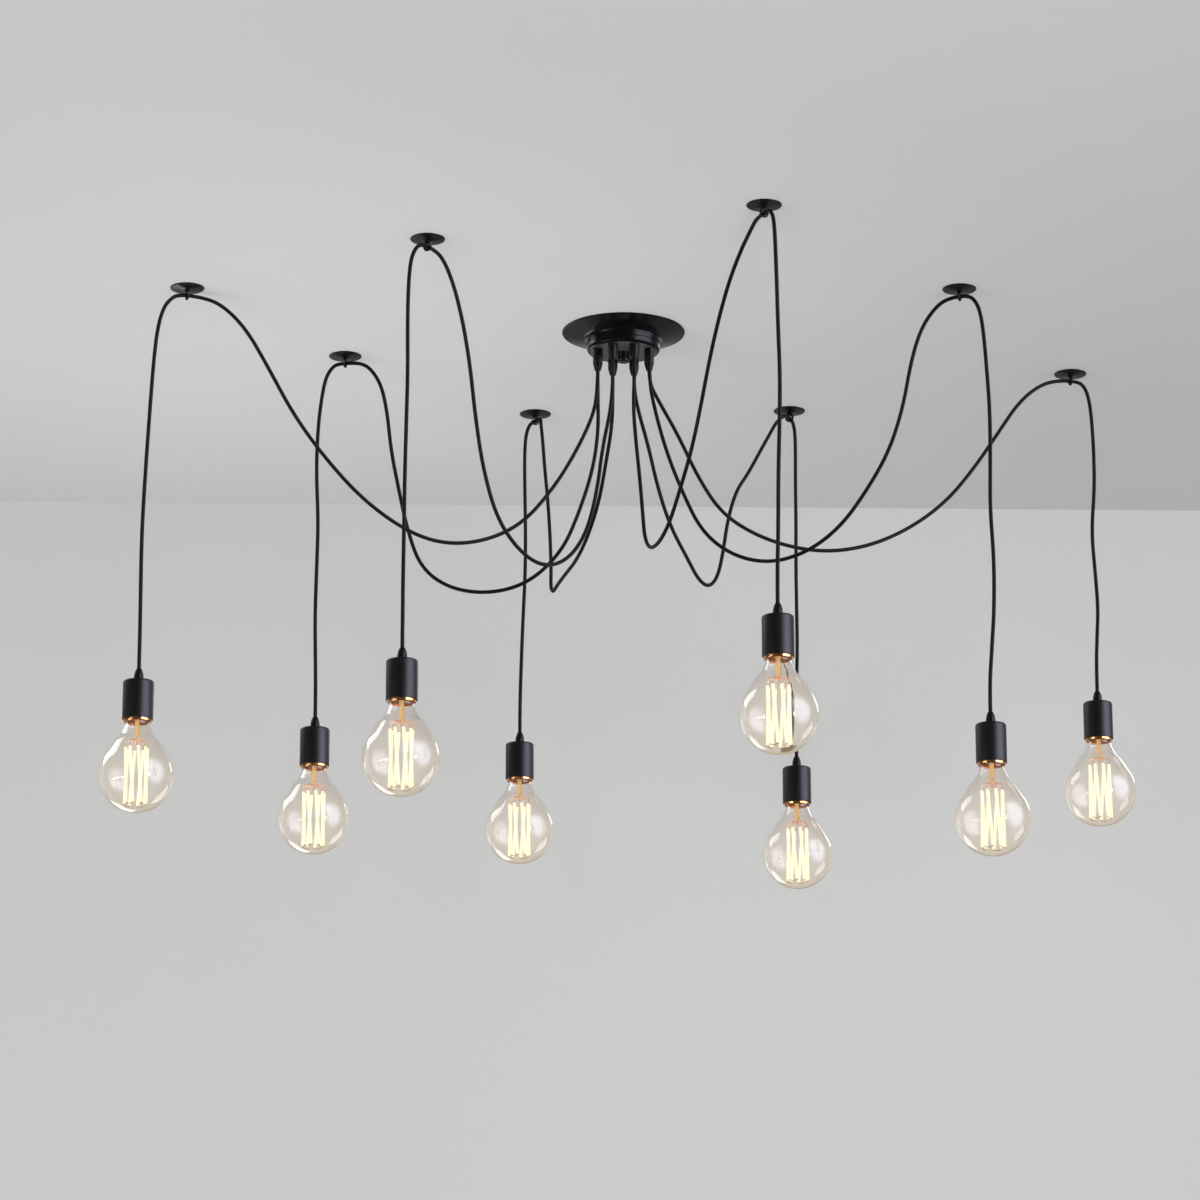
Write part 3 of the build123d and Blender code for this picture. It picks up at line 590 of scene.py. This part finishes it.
def thickened(line, wall):
    """The outline and, back again, its inner side at a wall's distance."""
    inner = []
    for index, point in enumerate(line):
        before = Vector(line[max(index - 1, 0)])
        after = Vector(line[min(index + 1, len(line) - 1)])
        way = (after - before).normalized()
        moved = Vector(point) + Vector((way.y, -way.x)) * wall
        inner.append((max(moved.x, 0), moved.y))
    inner[-1] = (0, line[-1][1] + wall)
    inner[0] = (line[0][0] - wall, line[0][1])
    return line + inner[::-1]


def stem_piece():
    """The glass stem, from its flare in the neck down to the thin rod that carries the hub."""
    flare_top, flare_radius, stem_radius = 0.0098, 0.0112, 0.0032
    return turned(
        [(0, flare_top), (flare_radius, flare_top, 0.0004), (flare_radius, 0.0072, 0.0008),
         (0.0056, 0.0050, 0.003), (stem_radius, 0.0036, 0.003), (stem_radius, -0.0212, 0.0014),
         (rod_radius, -0.0232, 0.0006), (rod_radius, -0.031, 0.0004), (0, -0.0312)],
        steps=5, sides=40, closed=False,
    )


def glass_parts():
    envelope = lathe(thickened(envelope_line(), glass_wall), sides=128)
    return [(*envelope, envelope_glass), (*stem_piece(), stem_glass)]


# The lamp base: a threaded cap with its insulator and tip, a seal, and the lit strips on their hub. The
# strips stand round the rod in a twisted cage, each on an arm of its own from the hub.
strip_count, strip_radius, strip_reach, strip_top, strip_bottom = 8, 0.0020, 0.0138, -0.036, -0.108
strip_first, strip_twist, hub_level = math.radians(14), math.radians(24), -0.027
arm_radius, link_radius = 0.0006, 0.0004


def cap_sleeve():
    """A thin sleeve whose outer wall carries a rolled thread that runs out at both ends."""
    sides, bottom, top, depth, rows_per_turn, fade_rate = 72, 0.010, 0.0281, 0.0009, 12, 1.5
    rows = int((top - bottom) / thread_pitch * rows_per_turn)
    heights = [bottom + (top - bottom) * row / rows for row in range(rows + 1)]
    verts = []
    for height in heights:
        nearest = min(height - bottom, top - height)
        fade = min(1, nearest / thread_pitch * fade_rate)
        verts += thread_row(cap_radius, depth * fade, height, sides)
    for height in reversed(heights):
        verts += ring_points(cap_bore, height, sides)
    return verts, bands(2 * rows + 2, sides)


def cap_pieces():
    """The cap's plain skirt and top, and the insulator, tip and seal."""
    skirt_bore, skirt_foot, skirt_step, skirt_top = 0.0127, 0.0050, 0.0098, 0.0104
    cone_hole, tip_radius, seal_radius = 0.0071, 0.0045, 0.0117
    insulator_radius, insulator_bottom, insulator_top = 0.0070, 0.0271, 0.0302
    skirt = turned(
        [(skirt_bore, skirt_foot), (cap_radius, skirt_foot, 0.0002), (cap_radius, skirt_top, 0.0003),
         (cap_bore, skirt_top), (cap_bore, skirt_step), (skirt_bore, skirt_step)],
        steps=3, sides=72,
    )
    cone = turned(
        [(cap_bore, 0.0278), (0.0126, 0.0280, 0.0003), (0.0104, 0.0293, 0.0008), (cone_hole, 0.0301, 0.0002),
         (cone_hole, 0.0294), (0.0100, 0.0286)],
        steps=3, sides=72,
    )
    insulator = turned(
        [(0, insulator_bottom), (insulator_radius, insulator_bottom, 0.0003),
         (insulator_radius, 0.0299, 0.0006), (0.0048, insulator_top, 0.0004), (0, insulator_top)],
        steps=4, sides=48, closed=False,
    )
    tip = turned(
        [(0, 0.0298), (tip_radius, 0.0298, 0.0002), (0.0044, 0.0309, 0.0008), (0.0026, 0.0315, 0.0008),
         (0, 0.03155)],
        steps=4, sides=48, closed=False,
    )
    seal = turned(
        [(0, 0.0101), (seal_radius, 0.0101, 0.0001), (seal_radius, 0.0105, 0.0001), (0, 0.0106)],
        steps=2, sides=48, closed=False,
    )
    return [(*skirt, cap_metal), (*cone, cap_metal), (*insulator, vitrite_black), (*tip, cap_metal),
            (*seal, flare_gold)]


def hub_piece():
    """The ring on the rod that carries the arms."""
    bottom, top, hub_radius = -0.0290, -0.0250, 0.0026
    return turned(
        [(rod_radius, bottom), (0.0022, bottom, 0.0004), (hub_radius, -0.0280, 0.0004),
         (hub_radius, -0.0262, 0.0005), (0.0020, top, 0.0004), (rod_radius, top)],
        steps=4, sides=32,
    )


def strip_ends(index):
    turn = strip_first + 2 * math.pi * index / strip_count
    high = level(turn) * strip_reach + up(strip_top)
    low = level(turn + strip_twist) * strip_reach + up(strip_bottom)
    return high, low


def strip_parts(index):
    """One lit strip with rounded ends, its two metal end tabs and its arm from the hub."""
    high, low = strip_ends(index)
    way, length = (low - high).normalized(), (low - high).length
    end_shares = [(0, 0.55), (0.0006, 0.82), (0.0015, 1)]
    body = end_shares + [(length - along, share) for along, share in reversed(end_shares)]
    path = [high + way * along for along, share in body]
    glow = tube(path, [strip_radius * share for along, share in body], sides=14)
    parts = [(*glow, strip_glow)]
    tab_sizes = [(-0.0004, 0.0009), (0.0006, 0.0008), (0.0014, 0.00045)]
    for end, away in ((high, -way), (low, way)):
        tab = tube([end + away * along for along, size in tab_sizes], [size for along, size in tab_sizes])
        parts.append((*tab, strip_end))
    out = level(strip_first + 2 * math.pi * index / strip_count)
    arm_bends = [(rod_radius, 0), (0.005, 0.0003), (0.009, 0.0002), (0.0122, -0.0001), (0.0134, -0.0007),
                 (0.0139, -0.0019), (0.0140, -0.0050)]
    arm = [out * reach + up(hub_level + rise) for reach, rise in arm_bends]
    parts.append((*tube(arm + [high], arm_radius), support_wire))
    return parts


def bottom_link(index):
    """A sagging wire that joins the lower ends of two neighbouring strips."""
    near, far = strip_ends(index)[1], strip_ends(index + 1)[1]
    sags = [(0, 0), (0.25, 0.0017), (0.5, 0.0022), (0.75, 0.0017), (1, 0)]
    return tube([near + (far - near) * share - up(sag) for share, sag in sags], link_radius)


def base_parts():
    parts = [(*cap_sleeve(), cap_metal), *cap_pieces(), (*hub_piece(), support_wire)]
    for index in range(strip_count):
        parts += strip_parts(index)
    for index in range(0, strip_count, 2):
        parts.append((*bottom_link(index), strip_end))
    return parts


# The four meshes of a lamp, which all eight lamps share


def lamp_mesh(name, parts):
    """One mesh of (verts, faces, material) parts, with even normals and smooth round faces."""
    materials = list(dict.fromkeys(material for verts, faces, material in parts))
    all_verts, all_faces, slots = [], [], []
    for verts, faces, material in parts:
        start = len(all_verts)
        all_verts += [tuple(vert) for vert in verts]
        all_faces += [[start + corner for corner in face] for face in faces]
        slots += [materials.index(material)] * len(faces)
    mesh = bpy.data.meshes.new(name)
    mesh.from_pydata(all_verts, [], all_faces)
    for material in materials:
        mesh.materials.append(material)
    mesh.polygons.foreach_set("material_index", slots)
    fixer = bmesh.new()
    fixer.from_mesh(mesh)
    bmesh.ops.remove_doubles(fixer, verts=fixer.verts, dist=nearly_zero)
    bmesh.ops.recalc_face_normals(fixer, faces=fixer.faces)
    fixer.to_mesh(mesh)
    fixer.free()
    mesh.shade_smooth()
    mesh.set_sharp_from_angle(angle=crease_angle)
    return mesh


lamp_pieces = [
    ("socket", "socket_shell", "pendant", "socket_black", lamp_mesh("socket", socket_parts())),
    ("holder", "lampholder", "pendant", "holder_copper", lamp_mesh("holder", holder_parts())),
    ("globe", "bulb_glass", "bulb", "lamp_glass", lamp_mesh("globe", glass_parts())),
    ("lamp_base", "bulb_base", "bulb", "cap_metal", lamp_mesh("lamp_base", base_parts())),
]
for number, place in enumerate(lamp_places, 1):
    for word, node, body, slot, mesh in lamp_pieces:
        thing = bpy.data.objects.new(f"{word}_{number}", mesh)
        collection.objects.link(thing)
        thing.location = place
        bpy.context.view_layer.update()
        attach(thing, f"{body}_{number}")
        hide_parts(f"{node}_{number}")
        if word == "globe":
            thing.visible_shadow = False

# Materials on the pieces that show as the frame has them
frame_materials = {
    "canopy_dish": canopy_black, "cap_nut": cap_nut_black, "cord_glands": gland_black,
    "gland_lock_nuts": nut_black, "terminal_blocks": block_ivory, "terminal_screws": brass,
    "live_wires": wire_brown, "neutral_wires": wire_blue, "hook_discs": hook_black,
    "ceiling_hooks": hook_black, "ceiling_bracket": zinc, "threaded_nipple": zinc,
}
for name, material in frame_materials.items():
    nodes[name].data.materials.clear()
    nodes[name].data.materials.append(material)


# Room: a pale ceiling, wall and floor, each seen only from its own side


def room_side(name, colour, shade, lift, middle, reach, gain):
    """Pale paint that lets light through from behind, and that a glossy surface doesn't mirror. A painted
    pool of light makes the paint lighter by `gain` round one place, with a soft edge at `reach`, and `lift`
    is a light of its own."""
    s = Surface(name)
    rays = s.add("ShaderNodeLightPath").node.outputs
    tone = s.blend(s.noise(scale=0.6, detail=2.0), colour, shade)
    # Painted pool of light: the paint is lighter by `gain` near `middle`, fading out by `reach`
    painted_light_pool = s.span(s.measure("DISTANCE", s.place, middle), 0, reach, gain, 1, smooth=True)
    pale = s.add("ShaderNodeVectorMath", {0: tone, "Scale": painted_light_pool}, operation="SCALE")
    paint = s.add("ShaderNodeBsdfDiffuse", {"Color": pale})
    seen = s.maths("MAXIMUM", rays["Is Camera Ray"], rays["Is Transmission Ray"])
    glow = s.add("ShaderNodeEmission", {"Strength": s.maths("MULTIPLY", seen, lift)})
    lit = s.add("ShaderNodeAddShader", {0: paint, 1: glow})
    hidden = s.maths("MAXIMUM", s.add("ShaderNodeNewGeometry", output="Backfacing"), rays["Is Shadow Ray"])
    unseen = s.maths("ADD", hidden, rays["Glossy Depth"], use_clamp=True)
    return s.close(s.add("ShaderNodeMixShader", {0: unseen, 1: lit, 2: s.add("ShaderNodeBsdfTransparent")}))


def room_plane(name, corners, material):
    mesh = bpy.data.meshes.new(name)
    mesh.from_pydata(corners, [], [[0, 1, 2, 3]])
    mesh.update()
    mesh.materials.append(material)
    plane = bpy.data.objects.new(name, mesh)
    collection.objects.link(plane)


wide, floor_z, ceiling_z, wall_left, wall_right = 7.0, -3.2, 0.0004, 0.612, 0.987
front_left, front_right = (-wide, -wide), (wide, -wide)
back_left, back_right = (-wide, wall_left), (wide, wall_right)
# Each side has a painted pool of light round `middle`: the ceiling's left of the canopy, the wall's to the
# right, the floor's faint
ceiling_paint = room_side("ceiling_paint", grey(0.42), grey(0.45), lift=0.15, middle=(-0.4, 0.10, 0),
                          reach=1.2, gain=1.36)
wall_paint = room_side("wall_paint", grey(0.455), grey(0.48), lift=0.155, middle=(1.0, 0.82, -0.2), reach=2.2,
                       gain=1.33)
floor_paint = room_side("floor_paint", grey(0.60), grey(0.63), lift=0.34, middle=(0, 0, floor_z), reach=4.0,
                        gain=1.05)
ceiling_corners = [(*corner, ceiling_z) for corner in (front_left, back_left, back_right, front_right)]
floor_corners = [(*corner, floor_z) for corner in (front_left, front_right, back_right, back_left)]
wall_corners = [
    (*back_left, ceiling_z), (*back_left, floor_z), (*back_right, floor_z), (*back_right, ceiling_z),
]
room_plane("stage_ceiling", ceiling_corners, ceiling_paint)
room_plane("stage_wall", wall_corners, wall_paint)
room_plane("stage_floor", floor_corners, floor_paint)

# Lamps that light the scene
lamps_middle, panel_reach = Vector((0, 0, -0.5)), 4.5


def area_light(name, towards, width, height, radiance, colour=(1, 1, 1), along=(0, 0, 1), reach=panel_reach,
               mirrored=True, through=True):
    """A soft panel that stands off in one direction from the lamps and faces them. Its height runs along
    `along`. It can be left out of what glossy surfaces mirror, and of what is seen through glass."""
    out = Vector(towards).normalized()
    upright = (Vector(along) - out * out.dot(Vector(along))).normalized()
    across = upright.cross(out)
    data = bpy.data.lights.new(name, "AREA")
    data.shape = "RECTANGLE"
    data.size = width
    data.size_y = height
    data.energy = radiance * math.pi * width * height
    data.color = colour
    lamp = bpy.data.objects.new(name, data)
    facing = Matrix((across, upright, out)).transposed().to_4x4()
    lamp.matrix_world = Matrix.Translation(lamps_middle + out * reach) @ facing
    lamp.visible_glossy = mirrored
    lamp.visible_transmission = through
    collection.objects.link(lamp)


# Each has a direction, a width, a height and a radiance
area_light("window_high", (-0.75, 0.29, 0.55), 1.9, 2.6, 3.0, along=(-0.235, 0.704, -0.668))
area_light("lamp_right", (0.64, -0.77, -0.14), 0.3, 0.7, 22.0)
area_light("strip_left", (-0.83, -0.53, -0.25), 2.4, 0.13, 26.0, (1.0, 0.96, 0.92), through=False)
area_light("band_left", (-0.85, -0.34, -0.42), 2.4, 0.8, 2.2, through=False)
area_light("rear_low", (-0.45, 0.75, -0.48), 2.2, 1.6, 2.2)
area_light("rear_high", (0.50, 0.80, 0.34), 0.9, 0.9, 2.4)
area_light("soft_low", (0, -0.78, -0.62), 3.2, 1.2, 3.7, reach=3.3, mirrored=False, through=False)
area_light("soft_left", (-0.80, -0.56, -0.16), 0.8, 0.5, 12.0, reach=3.6, mirrored=False, through=False)

# World: an even pale light. Glossy surfaces mirror a room that is pale behind the lamps and dim before
# them, with two soft patches of light.
world = bpy.data.worlds.new("world")
scene.world = world
world.use_nodes = True
air = Nodes(world.node_tree)
even_air = air.add("ShaderNodeBackground", Color=(0.80, 0.80, 0.79, 1), Strength=0.60)
direction = air.add("ShaderNodeTexCoord", output="Generated")


def soft_patch(towards, width, radiance, colour):
    """A patch of mirrored light with a soft edge, `width` degrees from its middle to nothing."""
    near = air.measure("DOT_PRODUCT", direction, Vector(towards).normalized())
    strength = air.span(near, math.cos(math.radians(width)), 1, 0, radiance, smooth=True)
    return air.add("ShaderNodeBackground", {"Strength": strength}, Color=(*colour, 1))


direction_parts = air.parts(direction)
rise = air.span(direction_parts["Z"], start=-0.12, end=0.03, first=0.22, last=0.60)
behind = air.span(direction_parts["Y"], start=0.2, end=0.9)
room_level = air.maths("ADD", air.maths("MULTIPLY", rise, behind), 0.08)
glossy_room = air.add("ShaderNodeBackground", {"Strength": room_level})
for patch in (soft_patch((0.92, -0.38, 0.10), width=40, radiance=4.7, colour=(0.80, 0.79, 1.0)),
              soft_patch((0.68, -0.58, 0.42), width=20, radiance=1.8, colour=(1, 1, 1))):
    glossy_room = air.add("ShaderNodeAddShader", {0: glossy_room, 1: patch})
mirror_share = air.maths("MINIMUM", air.add("ShaderNodeLightPath", output="Glossy Depth"), 1)
both_airs = air.add("ShaderNodeMixShader", {0: mirror_share, 1: even_air, 2: glossy_room})
air.finish("ShaderNodeOutputWorld", both_airs)
